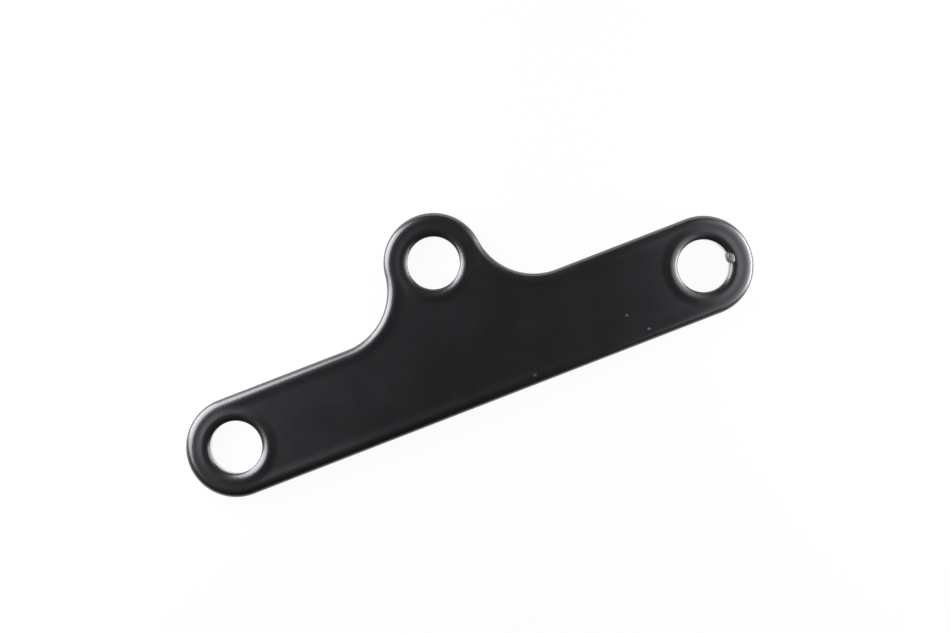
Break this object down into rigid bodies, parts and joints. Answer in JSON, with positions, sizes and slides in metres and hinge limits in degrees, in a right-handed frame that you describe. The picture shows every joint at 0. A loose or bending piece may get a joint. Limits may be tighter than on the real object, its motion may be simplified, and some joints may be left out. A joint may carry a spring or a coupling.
{
  "type": "speedometer bracket",
  "caption": "Flat steel plate bracket: a round-ended bar with a bolt hole at each end and a rounded ear at its middle whose hole carries the instrument. Black powder coat.",
  "frame": {"origin": "on the back face, midway between the two end holes", "axes": "+X along the bar towards the end hole with the hook tag, +Y towards the ear, +Z out of the front face"},
  "size_m": [0.12, 0.04, 0.004],
  "materials": {
    "black_powder_coat": "satin to semi-gloss black powder coat"
  },
  "bodies": {
    "root": {"speedometer_bracket": "black_powder_coat"}
  },
  "joints": []
}
